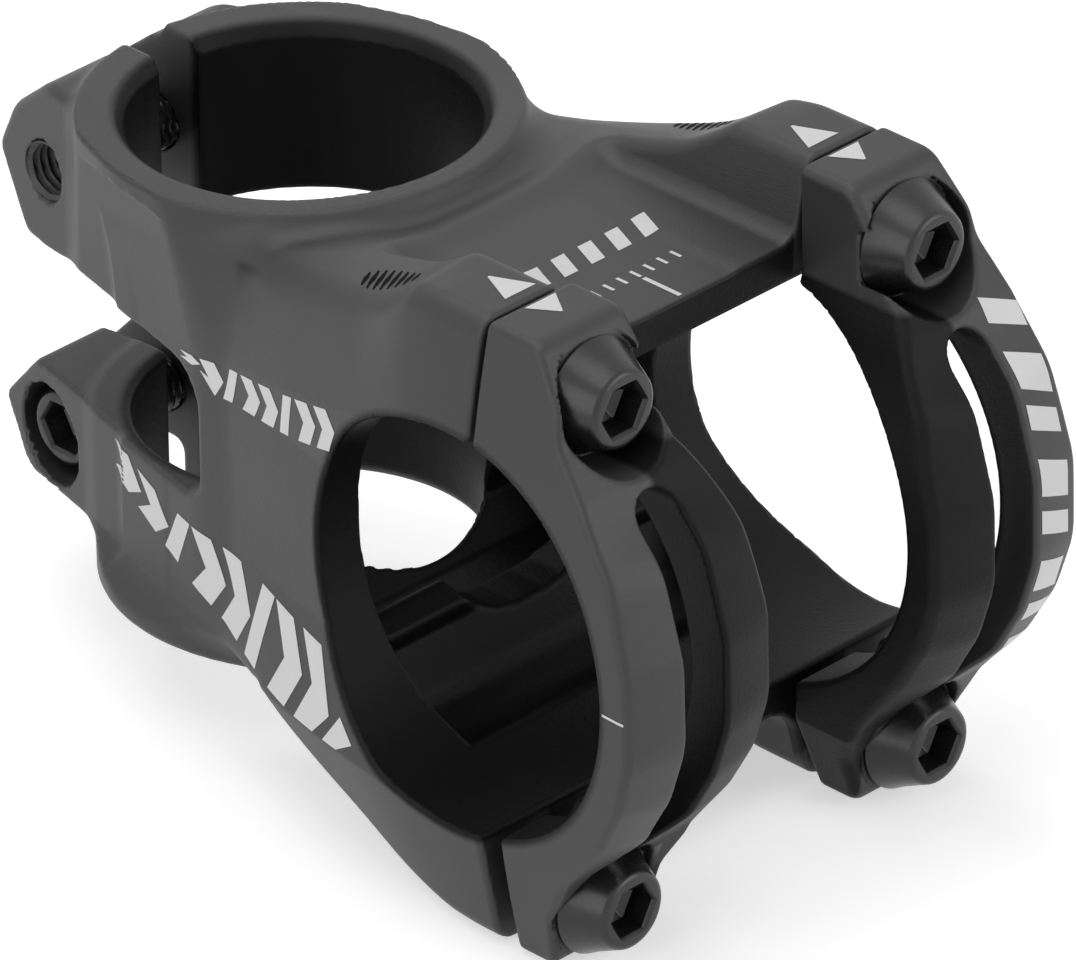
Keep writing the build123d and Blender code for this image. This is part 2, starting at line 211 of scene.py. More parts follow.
HOLLOW = rounded([
    (-40.0, -1.0, 0), (-31.8, 14.5, 0), (-12.6, 11.6, 2.0), (-12.6, -12.7, 1.0), (-15.5, -15.6, 1.0),
    (-19.7, -15.6, 2.0), (-22.8, -9.8, 0.5), (-25.1, -11.3, 0.4), (-24.6, -13.0, 0.4), (-26.6, -17.8, 3.0),
    (-31.0, -19.4, 3.0), (-34.0, -17.4, 0)])


def plan_width(y):
    return soft_min(15.5 - 0.27 * y + 0.012 * np.maximum(y, 0), 17.45 - 0.183 * y, 0.6)


def side_wall(y, z):
    """Half width of the forged body: a wedge in plan that swells toward the crease and toward the spine."""
    forward = ease(-y / 22)
    swell = np.maximum(np.minimum(z, crease(y)) - 6.0, 0) + np.maximum(-8.0 - np.maximum(z, SPINE_Z), 0)
    limit = np.where(z > BAR_Z, 25.5, 24.8)
    wide = soft_min(plan_width(y) + 0.17 * swell * ease((-1.0 - y) / 18), limit, 0.5)
    above = np.maximum(z - crease(y), 0)
    below = np.maximum(SPINE_Z - z, 0)
    lean = 0.03 * (1 - forward) + 0.12 * ease((-3.0 - y) / 10) * ease((y + 34.0) / 8)
    wide = wide - flank(np.maximum(z, BAR_Z)) * forward - lean * above
    return wide - (0.18 + 0.2 * ease((y + 42.0) / 18)) * below - 0.003 * below ** 2


def crease(y):
    """Height of the soft edge along the upper side."""
    return 6.9 - 0.14 * y + 0.0032 * np.minimum(y, 0) ** 2


def underside(y):
    """Height of the beam's lower face."""
    fall = np.clip((y + 38.0) / 23.5, 0, 1) ** 1.5
    return -28.9 + 10.75 * fall


def ridge_height(y):
    """Height of the outer ridges: the saddle, the ramp and the boss's flat top."""
    saddle = 17.95 - 0.247 * (y + 8.0)
    ramp = 22.55 - 0.7265 * (y + 28.5)
    return soft_min(soft_max(saddle, ramp, 1.0), TOP, 0.3)


def top_height(a, y):
    """Height of the top surface before the panel's pocket is cut: a valley, two ridges and an outer slope."""
    centre = 19.55 + 0.75 * ease((-18.2 - y) / 3.6)
    width = np.clip(8.0 + 0.36 * (y + 22.0), 7.0, 11.5)
    ridge = ridge_height(y)
    back = np.clip(y + 34.0, 0, 23.0)
    fall = OUTER_FALL * (0.7 * ease((y + 37.0) / 3) + 0.14 * back + 0.0025 * back ** 2)
    fall = fall * ease((-8.0 - y) / 9)
    outward = np.clip((a - RIDGE_A) / (plan_width(y) - 14.0), 0, 1.3)
    return centre + (ridge - centre) * ease((a - 5.0) / width) - fall * outward ** 1.5


def body_field(x, y, z):
    a = np.abs(x)
    rho = np.hypot(x, y)
    s = y / np.maximum(rho, 1.0)
    side = (a - side_wall(y, z)) * 0.965

    # steerer clamp: a tube trimmed by the side walls, with a round rim at its top
    radius = np.where(z > 0, TUBE_R + 1.2 * np.minimum(s, 0), TUBE_R - 0.55 - 0.5 * s)
    flare = 0.17 * np.maximum(z - crease(y), 0) + 1.1 * np.maximum(-16.7 - z, 0)
    tube = both(rho - radius, a - plan_width(y) - flare, 0.3)
    turn = np.degrees(np.arctan2(y, a))
    rim = rho - 17.45 - 0.3 * s - 0.4 * np.exp(-((turn - 8.0) / 19.0) ** 2)
    tube = either(tube, np.maximum(rim, CLAMP_TOP - 1.5 - z), 0.9)
    tube = both(tube, z - CLAMP_TOP, 0.35)
    tube = both(tube, -CLAMP_TOP - z, 0.9)

    # lugs behind it
    upper_lug = both(polygon(y, z, UPPER_LUG), side, 0.9)
    lower_lug = both(polygon(y, z, LOWER_LUG), side, 0.35)
    rear = either(tube, upper_lug, 1.4)
    rear = either(rear, lower_lug, 1.2)

    # beam with bosses and lower lugs
    top = (z - top_height(a, y)) * 0.88
    beam = both(side, top, 1.5)
    beam = both(beam, (underside(y) - z) * 0.88, 1.5)
    beam = np.maximum(beam, y - 6.0)
    pocket = both(20.02 - z, (a - 12.05 - 0.30 * (z - 19.9)) * 0.95, 1.2)
    pocket = both(pocket, (y + 21.9 - 0.8 * (z - 20.0)) * 0.8, 2.0)
    beam = less(beam, pocket, 0.9)
    arch = both(z + 21.4, (a - 11.0 + 0.25 * (z + 22.0)) * 0.97, 3.0)
    arch = np.maximum(arch, y + 17.0)
    beam = less(beam, arch, 1.3)
    front = np.where(z > BAR_Z, SPLIT_UP - y, SPLIT_LOW - y)
    beam = both(beam, front, 0.45)
    solid = either(beam, rear, 2.6)

    # bores and openings
    solid = both(solid, BAR_R - bar_radius(y, z), 0.45)
    solid = less(solid, np.maximum(polygon(y, z, HOLLOW), a - land_edge(y, z)), 0.4)
    solid = less(solid, np.maximum(polygon(x, z, WINDOW), y + 8.0), 0.4)
    solid = both(solid, STEERER_R + 0.8 * ease((np.abs(z) - 19.5) / 1.5) - rho, 0.6)
    solid = less(solid, polygon(y, z, GAP), 0.6)
    solid = less(solid, np.maximum(a - 2.1, -y), 0.35)

    # screw holes
    for level in (UPPER_Z, LOWER_Z):
        solid = less(solid, np.maximum(np.hypot(a - SCREW_X, z - level) - 2.6, y + 31.0), 0.2)
    solid = pinch_cut(solid, x, y, z, 1, PINCH_UP_Z)
    solid = pinch_cut(solid, x, y, z, -1, PINCH_DOWN_Z)
    return solid


def land_edge(y, z):
    """Inner half width of the clamping lands, by the angle about the bar's axis."""
    angle = np.degrees(np.arctan2(z - BAR_Z, y - BAR_Y))
    return 16.3 + 0.032 * np.maximum(angle - 4, 0) - 0.02 * np.maximum(-35 - angle, 0)


def pinch_cut(solid, x, y, z, side, level):
    """Head recess and shank hole on one side of the lug, tapped hole on the other."""
    r = np.hypot(y - PINCH_Y, z - level)
    solid = less(solid, r - 2.55, 0.2)
    return less(solid, np.maximum(r - PINCH_RECESS_R, PINCH_SEAT - side * x), 0.2)


# ---------------------------------------------------------------- caps
CAP_SIDE = rounded([
    (BAR_Y + 2, TOP, 0), (-48.2, TOP, 2.0), (-51.4, 22.2, 3.0), (-51.8, 19.6, 2.4), (-54.9, 15.8, 6.0),
    (-58.3, 10.3, 8.0), (-60.6, 2.6, 8.0), (-60.7, -4.6, 8.0), (-59.1, -9.6, 8.0), (-56.6, -13.9, 8.0),
    (-52.2, -19.6, 5.0), (-49.9, -23.8, 3.0), (-49.5, -28.7, 1.3), (BAR_Y + 2, -28.7, 0)])


def cap_inner(z):
    return 9.05 + 3.5 * np.clip(z / 17.0, 0, 1) ** 3 + 0.4 * np.maximum(-20.9 - z, 0)


def cap_field(x, y, z):
    a = np.abs(x)
    profile = polygon(y, z, CAP_SIDE)
    bulge = 1.1 * (1 - np.clip((a - SCREW_X) / 8.0, -1, 1) ** 2)
    reach = ease((14.5 - z) / 6.0) * ease((z + 20.0) / 6.0)
    solid = profile - bulge * reach
    solid = both(solid, a - (HALF_WIDTH - flank(z)), 0.6)
    solid = both(solid, cap_inner(z) - a, 0.9)
    split = np.where(z > BAR_Z, y - CAP_UP, y - CAP_LOW)
    solid = both(solid, split, 0.45)
    half = 2.2 - 1.0 * ease((-13.0 - z) / 6.0)
    slot = np.hypot(a - SCREW_X, np.maximum(np.maximum(z - 12.6, -17.6 - z), 0)) - half
    solid = less(solid, slot, 0.5)
    for level, seat in ((UPPER_Z, UPPER_SEAT), (LOWER_Z, LOWER_SEAT)):
        r = np.hypot(a - SCREW_X, z - level)
        solid = less(solid, r - SHANK_HOLE_R, 0.2)
        solid = less(solid, np.maximum(r - CAP_RECESS_R, y - seat), 0.3)
    return both(solid, BAR_R - bar_radius(y, z), 0.45)


# ---------------------------------------------------------------- surfaces from distance functions
def gradient(field, p, step=0.04):
    out = np.empty_like(p)
    for k in range(3):
        d = np.zeros(3)
        d[k] = step
        out[:, k] = field(*(p + d).T) - field(*(p - d).T)
    return out / (2 * step)


def settle(field, p, rounds, limit):
    """Move points onto the surface along its normal."""
    for _ in range(rounds):
        g = gradient(field, p)
        value = field(*p.T)
        step = -value[:, None] * g / np.maximum((g * g).sum(1), 0.05)[:, None]
        size = np.linalg.norm(step, axis=1, keepdims=True)
        p = p + step * np.minimum(1, limit / np.maximum(size, 1e-9))
    return p


def surface(field, low, high, h):
    """Closed quad mesh of the zero level of a field inside a box."""
    low = np.asarray(low, float) - 1.5 * h
    count = np.ceil((np.asarray(high, float) + 1.5 * h - low) / h).astype(int) + 1
    axes = [(low[k] + h * np.arange(count[k])).astype(np.float32) for k in range(3)]
    value = field(axes[0][:, None, None], axes[1][None, :, None], axes[2][None, None, :])
    value = np.broadcast_to(value, count)
    inside = value < 0
    nx, ny, nz = count - 1
    total = np.zeros((nx, ny, nz), np.int8)
    corners = [(i, j, k) for i in (0, 1) for j in (0, 1) for k in (0, 1)]
    for i, j, k in corners:
        total += inside[i:i + nx, j:j + ny, k:k + nz]
    cells = np.argwhere((total > 0) & (total < 8))
    index = np.full((nx, ny, nz), -1, np.int64)
    index[tuple(cells.T)] = np.arange(len(cells))
    at = {c: value[cells[:, 0] + c[0], cells[:, 1] + c[1], cells[:, 2] + c[2]] for c in corners}
    points = np.zeros((len(cells), 3))
    hits = np.zeros(len(cells))
    for c in corners:
        for k in range(3):
            if c[k]:
                continue
            d = tuple(1 if m == k else c[m] for m in range(3))
            va, vb = at[c], at[d]
            crossing = (va < 0) != (vb < 0)
            t = np.where(crossing, va / np.where(crossing, va - vb, 1), 0)
            here = np.array(c, float)[None, :].repeat(len(cells), 0)
            here[:, k] += t
            points += np.where(crossing[:, None], here, 0)
            hits += crossing
    points = low + h * (cells + points / hits[:, None])
    quads = []
    for k in range(3):
        m, n = [(1, 2), (2, 0), (0, 1)][k]
        first = inside[tuple(slice(0, count[q] - 1) if q == k else slice(1, count[q] - 1) for q in range(3))]
        second = inside[tuple(slice(1, count[q]) if q == k else slice(1, count[q] - 1) for q in range(3))]
        for flip in (False, True):
            edges = np.argwhere((second & ~first) if flip else (first & ~second))
            for q in (m, n):
                edges[:, q] += 1
            ring = []
            for dm, dn in ((-1, -1), (0, -1), (0, 0), (-1, 0)):
                cell = edges.copy()
                cell[:, m] += dm
                cell[:, n] += dn
                ring.append(index[tuple(cell.T)])
            quads.append(np.column_stack(ring[::-1] if flip else ring))
    return points, np.vstack(quads)


def relax(field, points, quads, rounds, h):
    """Even out the mesh along the surface, so edges read as smooth lines."""
    pairs = np.vstack([quads[:, [i, (i + 1) % 4]] for i in range(4)])
    degree = np.bincount(pairs.ravel(), minlength=len(points)).astype(float)
    points = settle(field, points, 2, h / 2)
    for _ in range(rounds):
        mean = np.column_stack([
            np.bincount(pairs[:, 0], points[pairs[:, 1], k], len(points))
            + np.bincount(pairs[:, 1], points[pairs[:, 0], k], len(points)) for k in range(3)])
        points = points + 0.5 * (mean / degree[:, None] - points)
        points = settle(field, points, 1, h / 2)
    return settle(field, points, 1, h / 2)


def field_mesh(name, field, low, high, h, rounds):
    points, quads = surface(field, low, high, h)
    points = relax(field, points, quads, rounds, h)
    normals = gradient(field, points, 0.06)
    normals /= np.maximum(np.linalg.norm(normals, axis=1, keepdims=True), 1e-9)
    mesh = bpy.data.meshes.new(name)
    mesh.from_pydata((points * MM).tolist(), [], quads.tolist())
    mesh.shade_smooth()
    mesh.normals_split_custom_set_from_vertices(normals.tolist())
    obj = bpy.data.objects.new(name, mesh)
    bpy.context.collection.objects.link(obj)
    return obj


# ---------------------------------------------------------------- materials
def new_material(name):
    material = bpy.data.materials.new(name)
    material.use_nodes = True
    nodes = material.node_tree.nodes
    return material, nodes, material.node_tree.links, nodes["Principled BSDF"]


def linear(value):
    c = value / 255
    return c / 12.92 if c <= 0.04045 else ((c + 0.055) / 1.055) ** 2.4


def grey(value, tint=(1.0, 1.0, 1.0)):
    return tuple(linear(value) * t for t in tint) + (1.0,)


def maths(nodes, links, operation, first, second=None, third=None):
    """Math node; inputs are sockets or numbers."""
    node = nodes.new("ShaderNodeMath")
    node.operation = operation
    for slot, given in zip(node.inputs, (first, second, third)):
        if given is None:
            continue
        if isinstance(given, (int, float)):
            slot.default_value = given
        else:
            links.new(given, slot)
    return node.outputs["Value"]


def step_between(nodes, links, value, start, stop):
    """0 before start, 1 after stop, in metres; start may lie above stop."""
    node = nodes.new("ShaderNodeMapRange")
    node.inputs["From Min"].default_value = start * MM
    node.inputs["From Max"].default_value = stop * MM
    links.new(value, node.inputs["Value"])
    return node.outputs["Result"]


def noise(nodes, links, vector, scale, detail):
    node = nodes.new("ShaderNodeTexNoise")
    node.inputs["Scale"].default_value = scale
    node.inputs["Detail"].default_value = detail
    links.new(vector, node.inputs["Vector"])
    return node.outputs["Fac"]


def colour_mix(nodes, links, factor, first, second):
    node = nodes.new("ShaderNodeMix")
    node.data_type = "RGBA"
    for slot, given in (("A", first), ("B", second)):
        if isinstance(given, tuple):
            node.inputs[slot].default_value = given
        else:
            links.new(given, node.inputs[slot])
    links.new(factor, node.inputs["Factor"])
    return node.outputs["Result"]


def product(nodes, links, *factors):
    result = factors[0]
    for factor in factors[1:]:
        result = maths(nodes, links, "MULTIPLY", result, factor)
    return result


def length_of(nodes, links, u, v):
    return maths(nodes, links, "SQRT", maths(nodes, links, "MULTIPLY_ADD", u, u, product(nodes, links, v, v)))


def painted_shade_zone(nodes, links, place):
    """Painted shade mask: 1 in the two bores, in the hollow behind the bar and on the bridge's front face, 0
    elsewhere.
    """
    split = nodes.new("ShaderNodeSeparateXYZ")
    links.new(place, split.inputs["Vector"])
    x, y, z = split.outputs["X"], split.outputs["Y"], split.outputs["Z"]
    across = maths(nodes, links, "ABSOLUTE", x)
    from_steerer = length_of(nodes, links, x, y)
    from_bar = length_of(nodes, links, maths(nodes, links, "SUBTRACT", y, BAR_Y * MM),
                         maths(nodes, links, "SUBTRACT", z, BAR_Z * MM))
    bore = step_between(nodes, links, from_steerer, STEERER_R + 1.4, STEERER_R + 0.7)
    land = step_between(nodes, links, from_bar, BAR_R + 0.9, BAR_R + 0.3)
    hollow = product(nodes, links, step_between(nodes, links, across, 17.2, 16.6),
                     step_between(nodes, links, z, 17.6, 17.0), step_between(nodes, links, z, -21.0, -20.4),
                     step_between(nodes, links, y, -9.0, -10.0))
    bridge = product(nodes, links, step_between(nodes, links, y, -42.1, -42.4),
                     step_between(nodes, links, across, 12.4, 12.1))
    shade_mask = bore
    for part in (land, hollow, bridge):
        shade_mask = maths(nodes, links, "MAXIMUM", shade_mask, part)
    return shade_mask


def blasted(name, low, high, rough, grain, bump, distance, painted_shade=None, shine=0.5):
    """Bead-blasted and anodised metal; the optional darker colour is painted shade, laid into the bores, the
    hollow and the bridge's front face, with less specular there.
    """
    material, nodes, links, shader = new_material(name)
    place = nodes.new("ShaderNodeTexCoord").outputs["Object"]
    fine = noise(nodes, links, place, grain, 4.0)
    cloud = noise(nodes, links, place, 90.0, 3.0)
    speckle = maths(nodes, links, "MULTIPLY_ADD", fine, 0.6, product(nodes, links, cloud, 0.4))
    colour = colour_mix(nodes, links, speckle, low, high)
    height = fine
    shader.inputs["Specular IOR Level"].default_value = shine
    # painted shade: a darker colour, less specular and a coarser grain in the bores, the hollow and the
    # bridge's front face
    if painted_shade:
        shade_mask = painted_shade_zone(nodes, links, place)
        colour = colour_mix(nodes, links, shade_mask, colour, painted_shade)
        shaded_specular = maths(nodes, links, "MULTIPLY_ADD", shade_mask, -0.7 * shine, shine)
        links.new(shaded_specular, shader.inputs["Specular IOR Level"])
        coarse = noise(nodes, links, place, grain * 0.35, 3.0)
        height = maths(nodes, links, "ADD", fine, product(nodes, links, shade_mask, coarse))
    ramp = nodes.new("ShaderNodeMapRange")
    ramp.inputs["To Min"].default_value = rough - 0.05
    ramp.inputs["To Max"].default_value = rough + 0.05
    bumper = nodes.new("ShaderNodeBump")
    bumper.inputs["Strength"].default_value = bump
    bumper.inputs["Distance"].default_value = distance
    links.new(colour, shader.inputs["Base Color"])
    links.new(fine, ramp.inputs["Value"])
    links.new(ramp.outputs["Result"], shader.inputs["Roughness"])
    links.new(height, bumper.inputs["Height"])
    links.new(bumper.outputs["Normal"], shader.inputs["Normal"])
    return material


# grey(9) is painted shade, laid into the bores, the hollow and the bridge's front face
alloy = blasted("alloy_blasted", grey(34), grey(52), 0.46, 7000.0, 0.6, 0.00005, grey(9))
steel = blasted("screw_black", grey(20), grey(32), 0.28, 2500.0, 0.12, 0.00002)
ink = blasted("ink_white", grey(222), grey(236), 0.5, 5000.0, 0.2, 0.00003)
# thread_shade: near-black, for sheets of painted shade in the thread grooves on the ridges
shade = blasted("thread_shade", grey(2), grey(5), 0.8, 5000.0, 0.2, 0.00003, shine=0.08)


# ---------------------------------------------------------------- pieces
def add_piece(obj, body, node, material):
    obj.data.materials.append(material)
    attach(obj, body)
    if node:
        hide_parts(node)


def mesh_object(name, points, faces, sharp=None):
    """Object from points in millimetres; edges steeper than the angle stay sharp."""
    mesh = bpy.data.meshes.new(name)
    mesh.from_pydata((np.asarray(points, float) * MM).tolist(), [], faces)
    mesh.shade_smooth()
    if sharp:
        mesh.set_sharp_from_angle(angle=math.radians(sharp))
    obj = bpy.data.objects.new(name, mesh)
    bpy.context.collection.objects.link(obj)
    return obj


def ring_faces(rows, count):
    """Quads between rows of points; each row holds count points round an axis."""
    faces = []
    for r in range(rows - 1):
        for c in range(count):
            d = (c + 1) % count
            faces.append((r * count + c, r * count + d, (r + 1) * count + d, (r + 1) * count + c))
    return faces


def turned(name, angle, loops, origin, direction, sharp):
    """Round piece from (radius, height) loops, its axis along a direction from an origin."""
    points = np.vstack([np.column_stack((r * np.cos(angle), r * np.sin(angle), h)) for r, h in loops])
    axis = np.array(direction, float)
    side = np.array((0.0, 0.0, 1.0))
    axes = np.vstack((side, np.cross(axis, side), axis))
    return mesh_object(name, points @ axes + np.array(origin), ring_faces(len(loops), len(angle)), sharp)


def thread_depth(angle, along):
    """0 on the crest of a screw thread, 1 at its root."""
    t = (along / THREAD_PITCH - angle / (2 * math.pi)) % 1.0
    return np.clip(1.25 - np.abs(2 * t - 1) * 1.6, 0, 1)


def hexagon(angle, flats):
    turn = (angle + math.pi / 6) % (math.pi / 3) - math.pi / 6
    return flats / 2 / np.cos(turn)


def screw(name, length, base, tip, seat, direction):
    """Socket screw: conical head with a bevelled hexagon socket, threaded shank."""
    count = 96
    angle = np.arange(count) * 2 * math.pi / count
    loops = [(np.full(count, r), np.full(count, h))
             for r, h in [(0.0, -length), (1.7, -length), (2.0, -length + 0.25)]]
    start, stop = -length + 0.35, -1.0
    for h in np.arange(start, stop, 0.1):
        fade = min(1.0, (h - start) / 0.5, (stop - h) / 0.6)
        crest = min(THREAD_R, 2.05 + (h - start) * 0.8)
        loops.append((crest - THREAD_DEPTH * fade * thread_depth(angle, h), np.full(count, h)))
    slope = (base - tip) / 2 / HEAD_HEIGHT
    rim = tip / 2 + slope * 0.45
    profile = [(2.5, -0.9), (2.5, -0.1), (2.7, 0.0), (base / 2 - 0.25, 0.0), (base / 2 - 0.06, 0.06),
               (base / 2, 0.25), (base / 2 - slope * 1.2, 1.2), (base / 2 - slope * 2.4, 2.4),
               (rim, HEAD_HEIGHT - 0.45), (rim - 0.12, HEAD_HEIGHT - 0.2), (rim - 0.32, HEAD_HEIGHT - 0.05),
               (rim - 0.55, HEAD_HEIGHT)]
    loops += [(np.full(count, r), np.full(count, h)) for r, h in profile]
    mouth = hexagon(angle, SOCKET_FLATS)
    socket = [(np.minimum(mouth + 0.28, rim - 0.62), 0.0), (mouth + 0.03, 0.28), (mouth, 0.36), (mouth, 2.4),
              (mouth * 0.93, 2.55), (np.full(count, 0.02), 3.3)]
    loops += [(r, np.full(count, HEAD_HEIGHT - depth)) for r, depth in socket]
    return turned(name, angle, loops, seat, direction, 28)


def thread_liner(name, start, direction, length):
    """Threads of an open tapped hole, as a thin sleeve."""
    count = 72
    angle = np.arange(count) * 2 * math.pi / count
    loops = [(THREAD_R - 0.38 * (1 - thread_depth(angle, h)), np.full(count, h))
             for h in np.arange(0.0, length, 0.1)]
    loops += [(np.full(count, THREAD_R + 0.06), np.full(count, h)) for h in (length, 0.0)]
    loops.append(loops[0])
    return turned(name, angle, loops, start, direction, 40)


BODY_H = 0.49
CAP_H = 0.33
body = field_mesh("forged_body", body_field, (-26, -44, -30), (26, 28, 28), BODY_H, 4)
add_piece(body, "stem", "stem_body", alloy)
for side, label in ((-1, "right"), (1, "left")):
    x_low, x_high = sorted((side * 8.0, side * 26.0))
    cap = field_mesh(f"forged_cap_{label}", cap_field, (x_low, -63, -30), (x_high, -42, 28), CAP_H, 4)
    add_piece(cap, f"cap_{label}", f"clamp_cap_{label}", alloy)
    for row, level, seat in (("upper", UPPER_Z, UPPER_SEAT), ("lower", LOWER_Z, LOWER_SEAT)):
        bolt = f"cap_bolt_{row}_{label}"
        piece = screw(f"screw_{row}_{label}", 18.0, 9.8, SCREW_TIP, (side * SCREW_X, seat, level), (0, -1, 0))
        add_piece(piece, bolt, bolt, steel)
for side, row, level in ((1, "upper", PINCH_UP_Z), (-1, "lower", PINCH_DOWN_Z)):
    seat = (side * PINCH_SEAT, PINCH_Y, level)
    piece = screw(f"pinch_screw_{row}", 12.0, 8.4, SCREW_TIP, seat, (side, 0, 0))
    add_piece(piece, f"pinch_bolt_{row}", f"pinch_bolt_{row}", steel)
    liner = thread_liner(f"thread_{row}", (-side * 6.85, PINCH_Y, level), (-side, 0, 0), 3.1)
    add_piece(liner, "stem", None, alloy)


# ---------------------------------------------------------------- printed marks, and sheets of painted shade in the thread grooves
def land_on(field, start, direction):
    """First point of the surface from a start outside it along a direction."""
    p = np.array(start, float)
    d = np.broadcast_to(np.asarray(direction, float), p.shape)
    for _ in range(60):
        p = p + d * (0.7 * field(*p.T))[:, None]
    return p


def print_and_shade_sheet(name, body_name, field, shapes, place, material):
    """Thin printed shapes and sheets of painted shade: four corners each in flat coordinates, laid on the
    surface by place().
    """
    flats, faces, sizes = [], [], []
    for corners in shapes:
        (a, b, c, d) = [np.array(q, float) for q in corners]
        m = max(2, int(max(np.linalg.norm(b - a), np.linalg.norm(c - d)) / 0.5) + 1)
        n = max(2, int(max(np.linalg.norm(d - a), np.linalg.norm(c - b)) / 0.5) + 1)
        s, t = [w.ravel()[:, None] for w in np.meshgrid(np.linspace(0, 1, m), np.linspace(0, 1, n))]
        sizes.append((sum(len(q) for q in flats), m, n))
        flats.append((1 - t) * ((1 - s) * a + s * b) + t * ((1 - s) * d + s * c))
    start, direction = place(np.vstack(flats))
    landed = land_on(field, start, direction)
    normal = gradient(field, landed)
    normal /= np.linalg.norm(normal, axis=1, keepdims=True)
    for base, m, n in sizes:
        one, two = landed[base + 1] - landed[base], landed[base + m] - landed[base]
        outward = np.cross(one, two) @ normal[base] > 0
        for j in range(n - 1):
            for i in range(m - 1):
                corner = base + j * m + i
                ring = [corner, corner + 1, corner + m + 1, corner + m]
                faces.append(ring if outward else ring[::-1])
    add_piece(mesh_object(name, landed + SHEET_LIFT * normal, faces), body_name, None, material)


def from_side(side):
    """Place (y, z) shapes on a side wall."""
    def place(flat):
        start = np.column_stack((np.full(len(flat), side * 28.0), flat))
        return start, np.broadcast_to((-side, 0.0, 0.0), start.shape)
    return place


def from_top(flat):
    """Place (x, y) shapes on top faces."""
    start = np.column_stack((flat, np.full(len(flat), TOP + 2.0)))
    return start, np.broadcast_to((0.0, 0.0, -1.0), start.shape)


def from_front(flat):
    """Place (angle in degrees, x) shapes on the caps' crowns."""
    turn = np.radians(flat[:, 0])
    out = np.column_stack((np.zeros(len(flat)), np.cos(turn), np.sin(turn)))
    start = np.column_stack((flat[:, 1], np.full(len(flat), BAR_Y), np.full(len(flat), BAR_Z))) + 28.0 * out
    return start, -out


def low_band_low(y):
    """Lower border of the lower printed band, along the spine."""
    return -17.4 + 9.2 * np.clip((y + 22.0) / 33.0, 0, 1) ** 1.6


def low_band_high(y):
    """Upper border of the lower printed band: under the rear gap, and short of the bar's bore."""
    full = low_band_low(y) + 3.4 + 4.2 * ease((6.0 - y) / 22)
    bore = BAR_Z - math.sqrt(max(18.9 ** 2 - (y - BAR_Y) ** 2, 0.0))
    if y < -21.5:
        return min(full, bore)
    return min(full, GAP_FLOOR - 1.0) if y > GAP_FRONT - 2.5 else full


def stroke(low, high, u0, u1, v0, v1, width):
    """Slanted bar between two heights of a band, as four (y, z) corners."""
    def at(y, v):
        return (y, low(y) + v * (high(y) - low(y)))
    return [at(u0, v0), at(u0 - width, v0), at(u1 - width, v1), at(u1, v1)]


def chevrons(low, high, first, last, count, width, lean):
    """Row of chevrons and bars along a band, from the rear to the front."""
    shapes = []
    pitch = (first - last) / count
    for i in range(count):
        y = first - i * pitch
        if i % 3 == 2:
            shapes.append(stroke(low, high, y, y - lean, 0.0, 1.0, width * 0.7))
        else:
            shapes.append(stroke(low, high, y, y - lean, 0.0, 0.5, width))
            shapes.append(stroke(low, high, y - lean, y, 0.5, 1.0, width))
    return shapes


def high_band_low(y):
    """Lower border of the upper printed band, above the rear gap."""
    full = crease(y) - 3.4 - 0.9 * ease((-8.0 - y) / 12)
    return max(full, GAP_ROOF + 1.3) if y > GAP_FRONT - 1.5 else full


def high_band_high(y):
    return crease(y) - 0.4


for side, label in ((-1, "right"), (1, "left")):
    low_band = chevrons(low_band_low, low_band_high, 8.4, -29.0, 9, 2.7, 2.0)
    high_band = chevrons(high_band_low, high_band_high, -3.0, -25.6, 8, 1.8, 1.1)
    print_and_shade_sheet(f"print_side_{label}", "stem", body_field, low_band + high_band, from_side(side), ink)
    centre = side * 16.9
    back_mark = [(centre - 0.1, -37.7), (centre + 0.1, -37.7), (centre + 1.7, -41.2), (centre - 1.7, -41.2)]
    print_and_shade_sheet(f"mark_body_{label}", "stem", body_field, [back_mark], from_top, ink)
    front_mark = [(centre - 1.7, -43.3), (centre + 1.7, -43.3), (centre + 0.1, -45.7), (centre - 0.1, -45.7)]
    print_and_shade_sheet(f"mark_cap_{label}", f"cap_{label}", cap_field, [front_mark], from_top, ink)
    # painted shade: thin near-black sheets across the ridge stand for the shaded insides of the thread
    # grooves
    groove_shade = []
    for k in range(8):
        x, y = side * SCREW_X, -24.7 - 0.8 * k
        half = 1.5 * math.sqrt(1 - ((k - 3.5) / 4.3) ** 2)
        for end in (-1, 1):
            groove_shade.append([(x, y - 0.27), (x, y + 0.27), (x + end * half, y + end * half * 0.45 + 0.1),
                          (x + end * half, y + end * half * 0.45 - 0.1)])
    print_and_shade_sheet(f"thread_groove_shade_{label}", "stem", body_field, groove_shade, from_top, shade)
tick = [(-0.22, -37.9), (0.22, -37.9), (0.22, -41.9), (-0.22, -41.9)]
scale = [[(x - 0.16, -36.4), (x + 0.16, -36.4), (x + 0.16, -37.6), (x - 0.16, -37.6)]
         for x in np.arange(-4.5, 4.6, 1.5)]
bars = [[(x, -30.6), (x + 1.5, -30.6), (x + 0.3, -33.4), (x - 1.2, -33.4)]
        for x in np.arange(-6.0, 6.1, 3.0)]
print_and_shade_sheet("print_panel", "stem", body_field, [tick] + scale + bars, from_top, ink)
print_and_shade_sheet("tick_cap_right", "cap_right", cap_field,
            [[(-57.5, -0.85), (-57.5, -0.62), (-60.3, -0.72), (-60.3, -0.95)]], from_side(-1), ink)
front = []
for k, angle in enumerate(range(130, 218, 12)):
    wide = 8.5 if k % 2 else 5.5
    front.append([(angle, 20.4), (angle + wide, 20.4), (angle + wide + 4.0, 24.0), (angle + 4.0, 24.0)])
print_and_shade_sheet("print_cap_left", "cap_left", cap_field, front, from_front, ink)

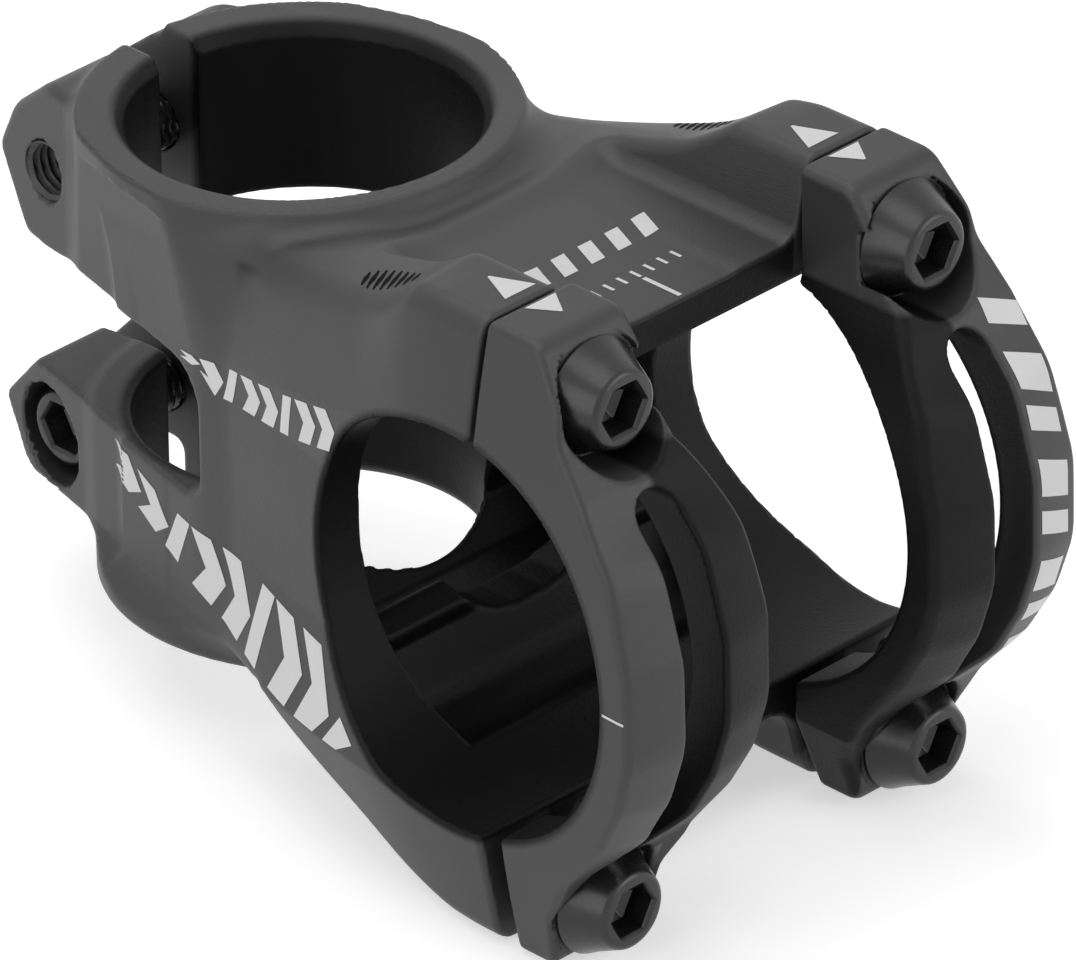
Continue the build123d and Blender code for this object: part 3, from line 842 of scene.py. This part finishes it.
# ---------------------------------------------------------------- camera, light, floor
AZ, EL, ROLL = (math.radians(v) for v in (-44.963, 29.702, -0.695))
DISTANCE, ACROSS, UPWARD = 1200.0, 18.691, -29.648
back = Vector((math.sin(AZ) * math.cos(EL), -math.cos(AZ) * math.cos(EL), math.sin(EL)))
level = Vector((math.cos(AZ), math.sin(AZ), 0.0))
rise = back.cross(level)
right = math.cos(ROLL) * level + math.sin(ROLL) * rise
up = math.cos(ROLL) * rise - math.sin(ROLL) * level
eye = (right * ACROSS + up * UPWARD + back * DISTANCE + Vector((0, 0, CLAMP_TOP))) * MM
camera_data = bpy.data.cameras.new("camera")
camera_data.sensor_width = 36.0
camera_data.lens = 503.78
camera_data.clip_end = 20.0
camera = bpy.data.objects.new("camera", camera_data)
camera.matrix_world = Matrix.Translation(eye) @ Matrix((right, up, back)).transposed().to_4x4()
bpy.context.collection.objects.link(camera)
bpy.context.scene.camera = camera


def lamp(name, spot, size, power):
    data = bpy.data.lights.new(name, "AREA")
    data.shape = "RECTANGLE"
    data.size, data.size_y = size
    data.energy = power
    obj = bpy.data.objects.new(name, data)
    obj.location = spot
    aim = Vector((0, -0.02, 0)) - Vector(spot)
    obj.rotation_euler = aim.to_track_quat("-Z", "Y").to_euler()
    bpy.context.collection.objects.link(obj)


lamp("overhead", (-0.10, 0.10, 0.75), (0.9, 0.7), 3.1)
lamp("left_panel", (-0.75, -0.05, 0.25), (0.6, 0.6), 1.7)
lamp("right_panel", (0.35, -0.75, 0.30), (0.6, 0.6), 2.2)


def seen_directly(nodes, links):
    """1 for camera rays and for the mirror and glass rays that should show the same background."""
    path = nodes.new("ShaderNodeLightPath")
    first = nodes.new("ShaderNodeMath")
    first.operation = "MAXIMUM"
    second = nodes.new("ShaderNodeMath")
    second.operation = "MAXIMUM"
    links.new(path.outputs["Is Camera Ray"], first.inputs[0])
    links.new(path.outputs["Is Glossy Ray"], first.inputs[1])
    links.new(first.outputs["Value"], second.inputs[0])
    links.new(path.outputs["Is Transmission Ray"], second.inputs[1])
    return second.outputs["Value"]


world = bpy.data.worlds.new("studio")
bpy.context.scene.world = world
world.use_nodes = True
wnodes, wlinks = world.node_tree.nodes, world.node_tree.links
sky = wnodes["Background"]
sky.inputs["Color"].default_value = (1, 1, 1, 1)
sky.inputs["Strength"].default_value = 0.22
seen = wnodes.new("ShaderNodeBackground")
seen.inputs["Color"].default_value = (1, 1, 1, 1)
seen.inputs["Strength"].default_value = 1.0
pick = wnodes.new("ShaderNodeMixShader")
wlinks.new(seen_directly(wnodes, wlinks), pick.inputs["Fac"])
wlinks.new(sky.outputs["Background"], pick.inputs[1])
wlinks.new(seen.outputs["Background"], pick.inputs[2])
wlinks.new(pick.outputs["Shader"], wnodes["World Output"].inputs["Surface"])

paper, pnodes, plinks, pale = new_material("paper")
pale.inputs["Base Color"].default_value = grey(236)
pale.inputs["Roughness"].default_value = 0.9
glow = pnodes.new("ShaderNodeMath")
glow.operation = "MULTIPLY"
glow.inputs[1].default_value = 0.55
plinks.new(seen_directly(pnodes, plinks), glow.inputs[0])
plinks.new(glow.outputs["Value"], pale.inputs["Emission Strength"])
pale.inputs["Emission Color"].default_value = (1, 1, 1, 1)
level_z = cad_box[0][2] / MM
floor = mesh_object("floor", [(-1500, -1500, level_z), (1500, -1500, level_z), (1500, 1500, level_z),
                              (-1500, 1500, level_z)], [(0, 1, 2, 3)])
floor.data.materials.append(paper)

bpy.context.scene.view_settings.view_transform = "Standard"
